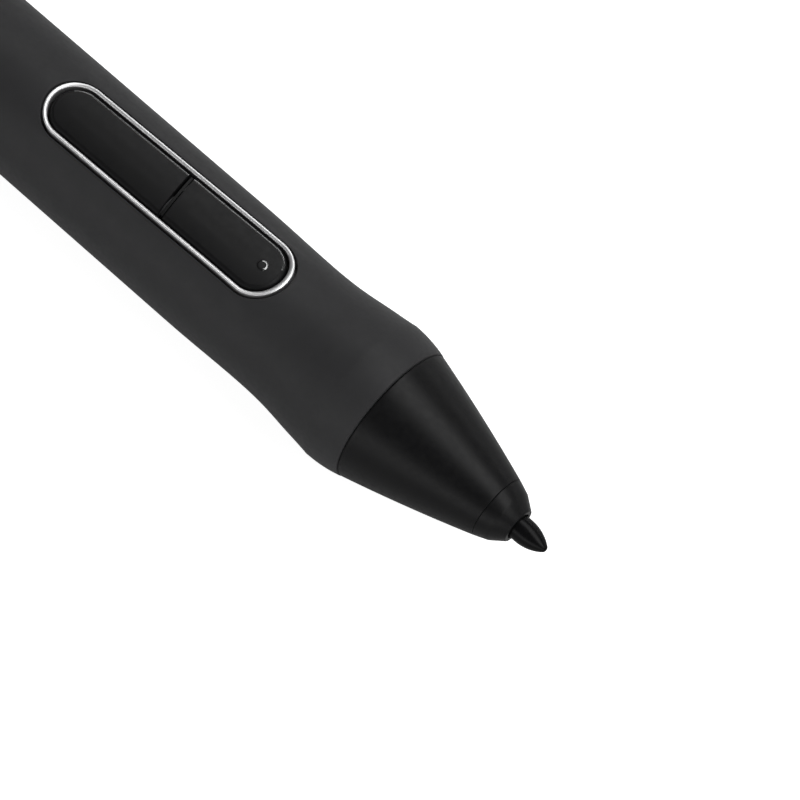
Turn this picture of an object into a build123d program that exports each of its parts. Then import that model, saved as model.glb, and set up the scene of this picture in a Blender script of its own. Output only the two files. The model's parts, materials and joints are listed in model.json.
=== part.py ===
"""A battery-free stylus for a pen display, lying on its side with its two side keys up.

The frame: +X runs along the pen towards the nib, +Z is up through the keys, and the origin is on
the surface that the pen lies on, under the middle of its length.  Lengths are millimetres.
Places along the pen are given as stations: distances back from the point of the nib.
"""

import os
from math import sqrt

from build123d import *

# Overall form
pen_length = 162.4
barrel_radius = 6.47
seam_gap = 0.10
fit_gap = 0.04
cut_overrun = 2.0

# Nib
nib_radius = 1.14
nib_reach = 3.10
nib_point_length = 2.50
nib_point_curve = 3.84
nib_point_round = 0.36
nib_head_length = 7.40
nib_step_length = 0.70
nib_stem_radius = 0.80
nib_insertion = 2.22
nib_press_travel = 0.30

# Nose: the collar round the nib, and the cone behind it
collar_length = 2.46
collar_bore_gap = 0.13
collar_rim_width = 0.36
collar_rim_round = 0.12
collar_end_radius = 3.00
collar_shoulder_radius = 2.52
collar_shoulder_setback = 1.22
collar_shoulder_round = 1.10
collar_spigot_radius = 2.20
collar_spigot_length = 2.40
cone_length = 11.94
cone_end_radius = 6.58
cone_bulge = 0.11
cone_wall = 0.95
cone_spigot_length = 5.90
cone_spigot_wall = 0.75
cone_spigot_gap = 0.06

# Grip sleeve
grip_length = 66.40
grip_thickness = 0.87
grip_front_drop = 0.44
grip_edge_round = 0.12
crest_rise = 0.61
crest_setback = 3.30
crest_fall_share = 0.07
flare_length = 8.90
flare_early_shares = (0.30, 0.50)
flare_late_shares = (0.60, 0.05)
waist_depth = 0.14
swell_length = 8.20
swell_shares = (0.55, 0.38)

# Rigid tube under the grip
core_wall = 0.95
core_head_rise = 0.45
core_head_step = 0.50
core_front_setback = 0.20
core_lip_height = 0.85
core_lip_thickness = 0.65
core_tail_length = 10.00
core_tail_step = 0.45

# Rear barrel and tail cap
rear_step = 0.20
rear_straight_length = 28.00
rear_bulkhead_thickness = 1.20
rear_bore_gap = 0.10
rear_well_radius = 3.95
tail_cap_length = 6.80
tail_cap_radius = 5.04
tail_flat_radius = 2.30
tail_spigot_length = 6.00
tail_spigot_wall = 0.90
tail_end_wall = 3.00
tail_flat_round = 1.20

# Key opening: an oval, wider at its front end, seen square to the keys
oval_setback = 12.75
oval_length = 27.45
oval_front_radius = 2.95
oval_rear_radius = 2.76
oval_clearance = 0.06
bezel_width = 0.42
bezel_rise = 0.08
bezel_round = 0.08
bezel_skirt_depth = 1.60
core_ledge_width = 0.30

# Keys
key_gap = 0.14
key_recess = 0.04
key_edge_round = 0.16
rim_slope_limit = 0.30
middle_share = 0.50
key_plate_depth = 1.47
key_split_setback = 12.35
key_split_rib = 0.20
key_split_gap = 0.11
key_rib_recess = 0.30
key_lug_length = 1.10
key_lug_half_width = 1.75
key_lug_drop = 0.45
key_pin_radius = 0.35
key_pin_length = 0.55
key_pin_gap = 0.04
key_pin_depth = 2.32
key_post_length = 1.60
key_post_width = 1.40
key_post_gap = 0.06
dot_radius = 0.50
dot_rise = 0.14
dot_round = 0.08
dot_setback = 2.85

# Cradle under the bezel, with the ears that the keys turn in
cradle_height = 0.45
cradle_rib_gap = 0.05
ear_reach = 0.90
ear_gap = 0.05
ear_width = 0.70
ear_drop = 0.70

# Key switches
switch_length = 3.00
switch_width = 2.60
switch_height = 1.80
switch_travel = 0.25
plunger_radius = 0.60
plunger_gap = 0.05
plunger_rise = 0.50
plunger_seat_depth = 0.25
plunger_floor_gap = 0.12
front_switch_lever = 5.00
rear_switch_lever = 7.00

# Inner chassis and board
chassis_gap = 0.10
chassis_wall = 0.80
chassis_disc = 2.15
chassis_tail_disc = 2.00
chassis_tail_space = 7.10
chassis_side_rise = 0.30
chassis_rib_thickness = 1.00
chassis_rib_count = 6
hook_length = 1.60
hook_reach = 0.25
hook_height = 0.45
hook_count = 3
board_drop = 0.40
board_thickness = 0.80
board_length = 66.00
board_setback = 0.50
board_side_gap = 0.06
trimmer_length = 3.20
trimmer_width = 2.80
trimmer_height = 1.10
trimmer_screw_radius = 1.10
trimmer_screw_height = 0.30
trimmer_slot_width = 0.40
capacitor_length = 2.00
capacitor_width = 1.20
capacitor_height = 1.00
capacitor_space = 0.80
capacitor_count = 5
chip_side = 4.00
chip_height = 0.90
cushion_thickness = 3.00
cushion_radius = 3.40

# Coil and its ferrite core
core_ring_thickness = 0.50
ferrite_radius = 2.00
ferrite_bore = 0.98
ferrite_length = 16.40
bobbin_setback = 3.20
bobbin_length = 11.00
bobbin_wall = 0.22
bobbin_flange_radius = 3.10
bobbin_flange_thickness = 0.50
winding_depth = 0.73
lead_radius = 0.12
lead_spread = 0.50
lead_bend = 0.40
lead_setback = 0.32
lead_notch_width = 1.60
lead_channel_depth = 0.45

# Pressure sensor
sensor_radius = 3.30
sensor_bore = 2.60
sensor_length = 7.90
sensor_front_wall = 1.00
sensor_cap_thickness = 1.00
sensor_disc_thickness = 0.90
holder_wall = 0.60
holder_flange_radius = 2.30
holder_flange_thickness = 0.80
holder_body_length = 1.60
holder_pin_radius = 0.70
pad_radius = 1.35
pad_thickness = 0.55
spring_radius = 2.05
spring_wire_radius = 0.15
spring_turns = 4

# Radii that follow
crest_radius = barrel_radius + crest_rise
waist_radius = barrel_radius - waist_depth
grip_front_radius = crest_radius - grip_front_drop
core_radius = barrel_radius - grip_thickness
core_bore = core_radius - core_wall
core_head_radius = core_radius + core_head_rise
core_head_bore = core_bore + core_head_step
core_tail_radius = core_radius - core_tail_step
rear_radius = barrel_radius - rear_step
chassis_radius = core_bore - chassis_gap
trough_radius = chassis_radius - chassis_wall
collar_bore = nib_radius + collar_bore_gap
collar_rim_radius = collar_bore + collar_rim_width
cone_spigot_radius = core_head_bore - cone_spigot_gap
cone_spigot_bore = cone_spigot_radius - cone_spigot_wall
sensor_seat_radius = sensor_radius + chassis_gap

# Stations that follow, from the nib's point back to the tail
collar_start = nib_reach
cone_start = collar_start + collar_length
cone_end = cone_start + cone_length
grip_start = cone_end + seam_gap
crest_station = grip_start + crest_setback
waist_station = crest_station + flare_length
swell_end = waist_station + swell_length
grip_end = grip_start + grip_length
rear_start = grip_end + seam_gap
rear_taper_start = rear_start + rear_straight_length
rear_end = pen_length - tail_cap_length - seam_gap
tail_start = pen_length - tail_cap_length
collar_spigot_end = cone_start + collar_spigot_length
cone_slope = (cone_end_radius - collar_end_radius) / cone_length
core_ring_start = collar_spigot_end + fit_gap
ferrite_start = core_ring_start + core_ring_thickness + fit_gap
ferrite_end = ferrite_start + ferrite_length
bobbin_start = ferrite_start + bobbin_setback
bobbin_end = bobbin_start + bobbin_length
cone_spigot_end = cone_end + cone_spigot_length
core_front = grip_start + core_front_setback
core_lip_start = cone_spigot_end + seam_gap
core_lip_end = core_lip_start + core_lip_thickness
core_tail_end = grip_end + core_tail_length
chassis_start = core_lip_end + fit_gap
chassis_disc_end = chassis_start + chassis_disc
sensor_start = chassis_disc_end + fit_gap
sensor_end = sensor_start + sensor_length
nib_length = sensor_start + nib_insertion
board_start = sensor_end + board_setback
board_end = board_start + board_length
chassis_tail_start = board_end + chassis_tail_space
chassis_end = chassis_tail_start + chassis_tail_disc
cushion_start = chassis_end + fit_gap
bulkhead_start = cushion_start + cushion_thickness + fit_gap
bulkhead_end = bulkhead_start + rear_bulkhead_thickness

# Heights above the pen's axis that follow
axis_height = crest_radius
plate_bottom = barrel_radius - key_plate_depth
pin_height = barrel_radius - key_pin_depth
skirt_bottom = barrel_radius - bezel_skirt_depth
cradle_top = skirt_bottom - fit_gap
cradle_bottom = cradle_top - cradle_height
ledge_top = cradle_bottom - fit_gap
board_top = -board_drop
board_bottom = board_top - board_thickness
switch_top = board_top + switch_height
plunger_top = switch_top + plunger_rise
plunger_bottom = switch_top - plunger_seat_depth
well_floor = plunger_bottom - switch_travel - plunger_floor_gap
key_top = barrel_radius + cut_overrun

# The oval's two end circles, and what lies between them
oval_front = grip_start + oval_setback + oval_front_radius
oval_rear = grip_start + oval_setback + oval_length - oval_rear_radius
split_station = grip_start + oval_setback + key_split_setback
front_key_end = split_station - key_split_rib / 2 - key_split_gap
rear_key_start = split_station + key_split_rib / 2 + key_split_gap
front_pin_station = front_key_end - key_lug_length / 2
rear_pin_station = rear_key_start + key_lug_length / 2
front_switch_station = front_pin_station - front_switch_lever
rear_switch_station = rear_pin_station + rear_switch_lever
key_inset = bezel_width + key_gap

# Planes and the axis: stations run towards the tail along each plane's own X
TIP = (pen_length / 2, 0, axis_height)
PROFILE = Plane(origin=TIP, x_dir=(-1, 0, 0), z_dir=(0, 1, 0))
TOP = Plane(origin=TIP, x_dir=(-1, 0, 0), z_dir=(0, 0, 1))
PEN_AXIS = Axis(TIP, (-1, 0, 0))


def section(station):
    """The plane square to the pen at a station, with its normal towards the tail."""
    origin = (pen_length / 2 - station, 0, axis_height)
    return Plane(origin=origin, x_dir=(0, -1, 0), z_dir=(-1, 0, 0))


def turn(start, end, outer, inner=0.0, mode=Mode.ADD):
    """Turns a plain ring or disc about the pen's axis."""
    with BuildSketch(PROFILE) as profile:
        with Locations(((start + end) / 2, (outer + inner) / 2)):
            Rectangle(end - start, outer - inner)
    revolve(profile.sketch, axis=PEN_AXIS, mode=mode)


def block(start, end, half_width, low, high, mode=Mode.ADD):
    """A box between two stations, centred across the pen, between two heights above its axis."""
    with BuildSketch(TOP.offset(low)) as outline:
        with Locations(((start + end) / 2, 0)):
            Rectangle(end - start, 2 * half_width)
    extrude(outline.sketch, amount=high - low, mode=mode)


def oval_outline(inset, level):
    """The key opening's oval taken in by an inset, drawn at a height above the axis."""
    with BuildSketch(TOP.offset(level)) as outline:
        with Locations((oval_front, 0)):
            Circle(oval_front_radius - inset)
        with Locations((oval_rear, 0)):
            Circle(oval_rear_radius - inset)
        make_hull()
    return outline.sketch


def oval(inset, low, high, mode=Mode.ADD):
    """The oval, taken in by an inset, as a solid between two heights."""
    extrude(oval_outline(inset, low), amount=high - low, mode=mode)


def oval_ring(width, low, high):
    """A ring of this width inside the oval, between two heights."""
    ring = oval_outline(0, low) - oval_outline(width, low)
    extrude(ring, amount=high - low)


def grip_form(rise, mode=Mode.ADD):
    """Turns the grip's outer form, raised by rise all over, as a solid down to the axis."""
    early, half_fall = flare_early_shares
    late, late_dip = flare_late_shares
    middle, middle_dip = swell_shares
    with BuildSketch(PROFILE) as profile:
        with BuildLine():
            front = (grip_start, grip_front_radius + rise)
            crest = (crest_station, crest_radius + rise)
            barrel = (swell_end, barrel_radius + rise)
            TangentArc(crest, front, tangent=(-1, 0))
            Spline(
                crest,
                (crest_station + flare_length * early, barrel_radius + crest_rise * half_fall + rise),
                (crest_station + flare_length * late, barrel_radius - waist_depth * late_dip + rise),
                (waist_station, waist_radius + rise),
                (waist_station + swell_length * middle, barrel_radius - waist_depth * middle_dip + rise),
                barrel,
                tangents=[(1, -crest_fall_share), (1, 0)],
            )
            end = (grip_end, barrel_radius + rise)
            Polyline(barrel, end, (grip_end, 0), (grip_start, 0), front)
        make_face()
    revolve(profile.sketch, axis=PEN_AXIS, mode=mode)


def rim_edges():
    """The edges of the block being made that run round its top, where it meets the grip's form."""
    upper = edges().filter_by(lambda edge: edge.center().Z > axis_height + plate_bottom + fit_gap)
    return upper.filter_by(lambda edge: abs((edge % middle_share).Z) < rim_slope_limit)


def cross_pin(station, height, radius, half_length, mode=Mode.ADD):
    """A round pin across the pen, through its middle plane."""
    with BuildSketch(PROFILE.offset(-half_length)) as outline:
        with Locations((station, height)):
            Circle(radius)
    extrude(outline.sketch, amount=2 * half_length, mode=mode)


def upright(station, radius, low, high, mode=Mode.ADD):
    """A round post square to the keys, between two heights above the axis."""
    with BuildSketch(TOP.offset(low)) as outline:
        with Locations((station, 0)):
            Circle(radius)
    extrude(outline.sketch, amount=high - low, mode=mode)


os.makedirs("parts", exist_ok=True)

# Nib: a rod with a domed point, and a thinner stem that runs back into its holder
nib_flat_radius = nib_radius - nib_point_curve + sqrt(nib_point_curve**2 - nib_point_length**2)
nib_step_end = nib_head_length + nib_step_length
with BuildPart() as nib:
    with BuildSketch(PROFILE):
        with BuildLine():
            point = (0, nib_flat_radius)
            shoulder = (nib_point_length, nib_radius)
            Line((0, 0), point)
            TangentArc(shoulder, point, tangent=(-1, 0))
            Polyline(
                shoulder,
                (nib_head_length, nib_radius),
                (nib_step_end, nib_stem_radius),
                (nib_length, nib_stem_radius),
                (nib_length, 0),
                (0, 0),
            )
        face = make_face()
        fillet(face.vertices().sort_by_distance((0, nib_flat_radius))[0], nib_point_round)
    revolve(axis=PEN_AXIS)
nib.part.label = "nib"
export_step(nib.part, "parts/nib.step")

# Tip collar: two slopes outside, a straight bore, and a spigot that fits into the cone
collar_shoulder = collar_start + collar_shoulder_setback
with BuildPart() as tip_collar:
    with BuildSketch(PROFILE):
        with BuildLine():
            Polyline(
                (collar_start, collar_bore),
                (collar_start, collar_rim_radius),
                (collar_shoulder, collar_shoulder_radius),
                (cone_start, collar_end_radius),
                (cone_start, collar_spigot_radius),
                (collar_spigot_end, collar_spigot_radius),
                (collar_spigot_end, collar_bore),
                close=True,
            )
        corners = make_face().vertices()
        fillet(corners.sort_by_distance((collar_shoulder, collar_shoulder_radius))[0], collar_shoulder_round)
        fillet(corners.sort_by_distance((collar_start, collar_rim_radius))[0], collar_rim_round)
    revolve(axis=PEN_AXIS)
tip_collar.part.label = "tip_collar"
export_step(tip_collar.part, "parts/tip_collar.step")

# Nose cone: a thin shell, a hole in front for the collar, and a spigot behind
cavity_start_radius = collar_end_radius + cone_slope * (collar_spigot_end - cone_start) - cone_wall
cavity_full = collar_spigot_end + (cone_spigot_bore - cavity_start_radius) / cone_slope
collar_seat_radius = collar_spigot_radius + fit_gap
with BuildPart() as nose_cone:
    with BuildSketch(PROFILE):
        with BuildLine():
            front = (cone_start, collar_end_radius)
            back = (cone_end, cone_end_radius)
            SagittaArc(front, back, cone_bulge)
            Polyline(
                back,
                (cone_end, cone_spigot_radius),
                (cone_spigot_end, cone_spigot_radius),
                (cone_spigot_end, cone_spigot_bore),
                (cavity_full, cone_spigot_bore),
                (collar_spigot_end, cavity_start_radius),
                (collar_spigot_end, collar_seat_radius),
                (cone_start, collar_seat_radius),
                front,
            )
        make_face()
    revolve(axis=PEN_AXIS)
nose_cone.part.label = "nose_cone"
export_step(nose_cone.part, "parts/nose_cone.step")

# Barrel core: the rigid tube under the sleeve, with a lip that stops the chassis
core_lip_bore = core_bore - core_lip_height
with BuildPart() as barrel_core:
    turn(core_front, core_lip_end, core_head_radius, core_lip_bore)
    turn(core_front, core_lip_start, core_head_bore, mode=Mode.SUBTRACT)
    turn(core_lip_end, grip_end, core_radius, core_bore)
    turn(grip_end, core_tail_end, core_tail_radius, core_bore)
    oval(-oval_clearance, ledge_top, key_top, mode=Mode.SUBTRACT)
    oval(core_ledge_width, 0, key_top, mode=Mode.SUBTRACT)
barrel_core.part.label = "barrel_core"
export_step(barrel_core.part, "parts/barrel_core.step")

# Grip sleeve: the soft outer skin, open round the bezel
with BuildPart() as grip_sleeve:
    grip_form(0)
    turn(grip_start, grip_end, core_radius + fit_gap, mode=Mode.SUBTRACT)
    turn(grip_start, core_lip_end + fit_gap, core_head_radius + fit_gap, mode=Mode.SUBTRACT)
    oval(-oval_clearance, 0, key_top, mode=Mode.SUBTRACT)
    front_edges = edges().filter_by(GeomType.CIRCLE).group_by(Axis.X)[-1]
    fillet(front_edges.sort_by(SortBy.RADIUS)[-1], grip_edge_round)
grip_sleeve.part.label = "grip_sleeve"
export_step(grip_sleeve.part, "parts/grip_sleeve.step")

# Key bezel: a bright oval ring that follows the grip's form
with BuildPart() as key_bezel:
    oval_ring(bezel_width, skirt_bottom, key_top)
    grip_form(bezel_rise, mode=Mode.INTERSECT)
    fillet(rim_edges(), bezel_round)
key_bezel.part.label = "key_bezel"
export_step(key_bezel.part, "parts/key_bezel.step")

# Key cradle: a ring on the core's ledge, a rib between the keys, and two ears for their pins
cradle_rib_start = split_station - key_split_rib / 2
cradle_rib_end = split_station + key_split_rib / 2
ear_start = front_pin_station - ear_reach
ear_end = rear_pin_station + ear_reach
ear_inside = key_lug_half_width + ear_gap
ear_bottom = pin_height - ear_drop
pin_bore_radius = key_pin_radius + key_pin_gap
with BuildPart() as key_cradle:
    block(cradle_rib_start, cradle_rib_end, oval_front_radius, cradle_bottom, key_top)
    oval(bezel_width + cradle_rib_gap, cradle_bottom, key_top, mode=Mode.INTERSECT)
    grip_form(-key_rib_recess, mode=Mode.INTERSECT)
    oval_ring(bezel_width, cradle_bottom, cradle_top)
    for side in (-1, 1):
        with BuildSketch(TOP.offset(ear_bottom)) as ear:
            with Locations(((ear_start + ear_end) / 2, side * (ear_inside + ear_width / 2))):
                Rectangle(ear_end - ear_start, ear_width)
        extrude(ear.sketch, amount=cradle_top - ear_bottom)
    for pin_station in (front_pin_station, rear_pin_station):
        cross_pin(pin_station, pin_height, pin_bore_radius, oval_front_radius, mode=Mode.SUBTRACT)
key_cradle.part.label = "key_cradle"
export_step(key_cradle.part, "parts/key_cradle.step")


def key_body(start, end, pin_station, switch_station):
    """A key's plate with softened edges, its lug and pins, and the post over its switch."""
    oval(key_inset, plate_bottom, key_top)
    grip_form(-key_recess, mode=Mode.INTERSECT)
    block(start, end, oval_front_radius, plate_bottom, key_top, mode=Mode.INTERSECT)
    fillet(rim_edges(), key_edge_round)
    block(pin_station - key_lug_length / 2, pin_station + key_lug_length / 2,
          key_lug_half_width, pin_height - key_lug_drop, plate_bottom)
    cross_pin(pin_station, pin_height, key_pin_radius, key_lug_half_width + key_pin_length)
    block(switch_station - key_post_length / 2, switch_station + key_post_length / 2,
          key_post_width / 2, plunger_top + key_post_gap, plate_bottom)


# Front key, with its raised dot
front_key_start = oval_front - oval_front_radius
dot_station = front_key_start + dot_setback
with BuildPart() as front_key:
    key_body(front_key_start, front_key_end, front_pin_station, front_switch_station)
    upright(dot_station, dot_radius, plate_bottom, key_top)
    grip_form(dot_rise - key_recess, mode=Mode.INTERSECT)
    fillet(edges().sort_by(Axis.Z)[-1], dot_round)
front_key.part.label = "front_key"
export_step(front_key.part, "parts/front_key.step")

# Rear key
with BuildPart() as rear_key:
    key_body(rear_key_start, oval_rear + oval_rear_radius, rear_pin_station, rear_switch_station)
rear_key.part.label = "rear_key"
export_step(rear_key.part, "parts/rear_key.step")

# Rear barrel: straight and then tapered, with a bulkhead that the chassis is pushed against
rear_bore = chassis_radius + rear_bore_gap
with BuildPart() as rear_barrel:
    with BuildSketch(PROFILE):
        with BuildLine():
            taper = (rear_taper_start, rear_radius)
            back = (rear_end, tail_cap_radius)
            TangentArc(taper, back, tangent=(1, 0))
            Polyline(back, (rear_end, 0), (rear_start, 0), (rear_start, rear_radius), taper)
        make_face()
    revolve(axis=PEN_AXIS)
    turn(rear_start, core_tail_end + seam_gap, core_tail_radius + fit_gap, mode=Mode.SUBTRACT)
    turn(rear_start, bulkhead_start, rear_bore, mode=Mode.SUBTRACT)
    turn(bulkhead_end, rear_end, rear_well_radius, mode=Mode.SUBTRACT)
rear_barrel.part.label = "rear_barrel"
export_step(rear_barrel.part, "parts/rear_barrel.step")

# Tail cap: a domed end with a small flat, on a hollow spigot
tail_spigot_radius = rear_well_radius - fit_gap
tail_spigot_start = tail_start - tail_spigot_length
with BuildPart() as tail_cap:
    with BuildSketch(PROFILE):
        with BuildLine():
            rim = (tail_start, tail_cap_radius)
            flat = (pen_length, tail_flat_radius)
            TangentArc(rim, flat, tangent=(1, 0))
            Polyline(
                flat,
                (pen_length, 0),
                (tail_spigot_start, 0),
                (tail_spigot_start, tail_spigot_radius),
                (tail_start, tail_spigot_radius),
                rim,
            )
        face = make_face()
        fillet(face.vertices().sort_by_distance((pen_length, tail_flat_radius))[0], tail_flat_round)
    revolve(axis=PEN_AXIS)
    hollow_end = pen_length - tail_end_wall
    turn(tail_spigot_start, hollow_end, tail_spigot_radius - tail_spigot_wall, mode=Mode.SUBTRACT)
tail_cap.part.label = "tail_cap"
export_step(tail_cap.part, "parts/tail_cap.step")

# Inner chassis: a disc in front, a seat for the sensor, and a trough with ribs and hooks for the board
board_half_width = sqrt(trough_radius**2 - board_bottom**2) - board_side_gap
lead_height = sensor_radius + fit_gap + lead_radius
rib_pitch = (board_length - chassis_rib_thickness) / (chassis_rib_count - 1)
hook_pitch = (board_length - hook_length) / (hook_count + 1)
with BuildPart() as inner_chassis:
    turn(chassis_start, chassis_end, chassis_radius)
    turn(sensor_end + fit_gap, chassis_tail_start, trough_radius, mode=Mode.SUBTRACT)
    turn(chassis_disc_end, sensor_end + fit_gap, sensor_seat_radius, mode=Mode.SUBTRACT)
    block(chassis_disc_end, chassis_tail_start, chassis_radius, chassis_side_rise, chassis_radius,
          mode=Mode.SUBTRACT)
    turn(chassis_start, ferrite_end + fit_gap, ferrite_radius + fit_gap, mode=Mode.SUBTRACT)
    turn(chassis_start, chassis_disc_end, ferrite_bore, mode=Mode.SUBTRACT)
    block(chassis_start, chassis_disc_end, lead_notch_width / 2, lead_height - lead_channel_depth,
          chassis_radius, mode=Mode.SUBTRACT)
    for rib in range(chassis_rib_count):
        with BuildSketch(section(board_start + rib * rib_pitch)) as bulkhead:
            Circle(trough_radius + fit_gap)
            with Locations((0, board_bottom - fit_gap + chassis_radius)):
                Rectangle(2 * chassis_radius, 2 * chassis_radius, mode=Mode.SUBTRACT)
        extrude(bulkhead.sketch, amount=chassis_rib_thickness)
    for hook in range(hook_count):
        hook_middle = board_start + (hook + 1) * hook_pitch + hook_length / 2
        hook_inside = board_half_width - hook_reach
        hook_outside = trough_radius + chassis_wall / 2
        for side in (-1, 1):
            with BuildSketch(TOP.offset(board_top + fit_gap)) as outline:
                with Locations((hook_middle, side * (hook_inside + hook_outside) / 2)):
                    Rectangle(hook_length, hook_outside - hook_inside)
            extrude(outline.sketch, amount=hook_height)
inner_chassis.part.label = "inner_chassis"
export_step(inner_chassis.part, "parts/inner_chassis.step")

# Circuit board
with BuildPart() as circuit_board:
    block(board_start, board_end, board_half_width, board_bottom, board_top)
circuit_board.part.label = "circuit_board"
export_step(circuit_board.part, "parts/circuit_board.step")

# Key switches, each a body on the board with a round plunger in a well
well_radius = plunger_radius + plunger_gap
with BuildPart() as front_switch:
    block(front_switch_station - switch_length / 2, front_switch_station + switch_length / 2,
          switch_width / 2, board_top, switch_top)
    upright(front_switch_station, well_radius, well_floor, switch_top, mode=Mode.SUBTRACT)
front_switch.part.label = "front_switch"
export_step(front_switch.part, "parts/front_switch.step")

with BuildPart() as rear_switch:
    block(rear_switch_station - switch_length / 2, rear_switch_station + switch_length / 2,
          switch_width / 2, board_top, switch_top)
    upright(rear_switch_station, well_radius, well_floor, switch_top, mode=Mode.SUBTRACT)
rear_switch.part.label = "rear_switch"
export_step(rear_switch.part, "parts/rear_switch.step")

with BuildPart() as front_plunger:
    upright(front_switch_station, plunger_radius, plunger_bottom, plunger_top)
front_plunger.part.label = "front_plunger"
export_step(front_plunger.part, "parts/front_plunger.step")

with BuildPart() as rear_plunger:
    upright(rear_switch_station, plunger_radius, plunger_bottom, plunger_top)
rear_plunger.part.label = "rear_plunger"
export_step(rear_plunger.part, "parts/rear_plunger.step")

# Tuning trimmer, between the two switches
trimmer_station = (front_switch_station + rear_switch_station) / 2
trimmer_top = board_top + trimmer_height
with BuildPart() as tuning_trimmer:
    block(trimmer_station - trimmer_length / 2, trimmer_station + trimmer_length / 2,
          trimmer_width / 2, board_top, trimmer_top)
    upright(trimmer_station, trimmer_screw_radius, trimmer_top, trimmer_top + trimmer_screw_height)
    block(trimmer_station - trimmer_screw_radius, trimmer_station + trimmer_screw_radius,
          trimmer_slot_width / 2, trimmer_top, trimmer_top + trimmer_screw_height, mode=Mode.SUBTRACT)
tuning_trimmer.part.label = "tuning_trimmer"
export_step(tuning_trimmer.part, "parts/tuning_trimmer.step")

# Capacitors, a row behind the rear switch
first_capacitor = rear_switch_station + switch_length / 2 + capacitor_space
with BuildPart() as board_capacitors:
    for place in range(capacitor_count):
        start = first_capacitor + place * (capacitor_length + capacitor_space)
        block(start, start + capacitor_length, capacitor_width / 2, board_top,
              board_top + capacitor_height)
board_capacitors.part.label = "board_capacitors"
export_step(board_capacitors.part, "parts/board_capacitors.step")

# Control chip, behind the capacitors
chip_start = first_capacitor + capacitor_count * (capacitor_length + capacitor_space)
with BuildPart() as control_chip:
    block(chip_start, chip_start + chip_side, chip_side / 2, board_top, board_top + chip_height)
control_chip.part.label = "control_chip"
export_step(control_chip.part, "parts/control_chip.step")

# Coil: a ferrite tube, a bobbin on it, the winding, and its two leads to the board
bobbin_bore = ferrite_radius + fit_gap
bobbin_radius = bobbin_bore + bobbin_wall
with BuildPart() as ferrite_core:
    turn(ferrite_start, ferrite_end, ferrite_radius, ferrite_bore)
ferrite_core.part.label = "ferrite_core"
export_step(ferrite_core.part, "parts/ferrite_core.step")

with BuildPart() as coil_bobbin:
    turn(bobbin_start, bobbin_end, bobbin_radius, bobbin_bore)
    turn(bobbin_start, bobbin_start + bobbin_flange_thickness, bobbin_flange_radius, bobbin_bore)
    turn(bobbin_end - bobbin_flange_thickness, bobbin_end, bobbin_flange_radius, bobbin_bore)
coil_bobbin.part.label = "coil_bobbin"
export_step(coil_bobbin.part, "parts/coil_bobbin.step")

winding_start = bobbin_start + bobbin_flange_thickness + fit_gap
winding_end = bobbin_end - bobbin_flange_thickness - fit_gap
winding_radius = bobbin_radius + fit_gap + winding_depth
with BuildPart() as coil_winding:
    turn(winding_start, winding_end, winding_radius, bobbin_radius + fit_gap)
coil_winding.part.label = "coil_winding"
export_step(coil_winding.part, "parts/coil_winding.step")

lead_drop = board_start + lead_setback
with BuildPart() as coil_leads:
    for side in (-1, 1):
        with BuildLine(PROFILE.offset(side * lead_spread)) as route:
            FilletPolyline(
                (bobbin_end + 2 * fit_gap, winding_radius - lead_radius),
                (chassis_start, lead_height),
                (lead_drop, lead_height),
                (lead_drop, board_top + fit_gap),
                radius=lead_bend,
            )
        with BuildSketch(Plane(origin=route.line @ 0, z_dir=route.line % 0)) as wire:
            Circle(lead_radius)
        sweep(wire.sketch, path=route.line)
coil_leads.part.label = "coil_leads"
export_step(coil_leads.part, "parts/coil_leads.step")

# Core ring: the soft ring between the collar and the ferrite
with BuildPart() as core_ring:
    turn(core_ring_start, core_ring_start + core_ring_thickness, collar_spigot_radius, collar_bore)
core_ring.part.label = "core_ring"
export_step(core_ring.part, "parts/core_ring.step")

# Nib holder: a chuck round the end of the stem, a flange that stops it, and a guide pin
holder_radius = nib_stem_radius + fit_gap + holder_wall
flange_start = sensor_start + sensor_front_wall + fit_gap
flange_end = flange_start + holder_flange_thickness
holder_body_end = flange_end + holder_body_length
disc_end = sensor_end - sensor_cap_thickness - fit_gap
disc_start = disc_end - sensor_disc_thickness
pad_end = disc_start - nib_press_travel - fit_gap
pad_start = pad_end - pad_thickness
with BuildPart() as nib_holder:
    turn(sensor_start, holder_body_end, holder_radius)
    turn(flange_start, flange_end, holder_flange_radius)
    turn(holder_body_end, pad_start - fit_gap, holder_pin_radius)
    turn(sensor_start, nib_length + fit_gap, nib_stem_radius + fit_gap, mode=Mode.SUBTRACT)
nib_holder.part.label = "nib_holder"
export_step(nib_holder.part, "parts/nib_holder.step")

# Pressure pad: a soft disc on the end of the holder's pin
with BuildPart() as pressure_pad:
    turn(pad_start, pad_end, pad_radius)
pressure_pad.part.label = "pressure_pad"
export_step(pressure_pad.part, "parts/pressure_pad.step")

# Sensor housing, the disc that senses the pad, and the cap behind it
sensor_tube_end = sensor_end - sensor_cap_thickness - fit_gap / 2
with BuildPart() as sensor_housing:
    turn(sensor_start, sensor_tube_end, sensor_radius)
    turn(sensor_start + sensor_front_wall, sensor_tube_end, sensor_bore, mode=Mode.SUBTRACT)
    turn(sensor_start, sensor_start + sensor_front_wall, holder_radius + fit_gap, mode=Mode.SUBTRACT)
sensor_housing.part.label = "sensor_housing"
export_step(sensor_housing.part, "parts/sensor_housing.step")

with BuildPart() as sensor_disc:
    turn(disc_start, disc_end, sensor_bore - fit_gap)
sensor_disc.part.label = "sensor_disc"
export_step(sensor_disc.part, "parts/sensor_disc.step")

with BuildPart() as sensor_cap:
    turn(sensor_end - sensor_cap_thickness, sensor_end, sensor_radius)
sensor_cap.part.label = "sensor_cap"
export_step(sensor_cap.part, "parts/sensor_cap.step")

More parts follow.
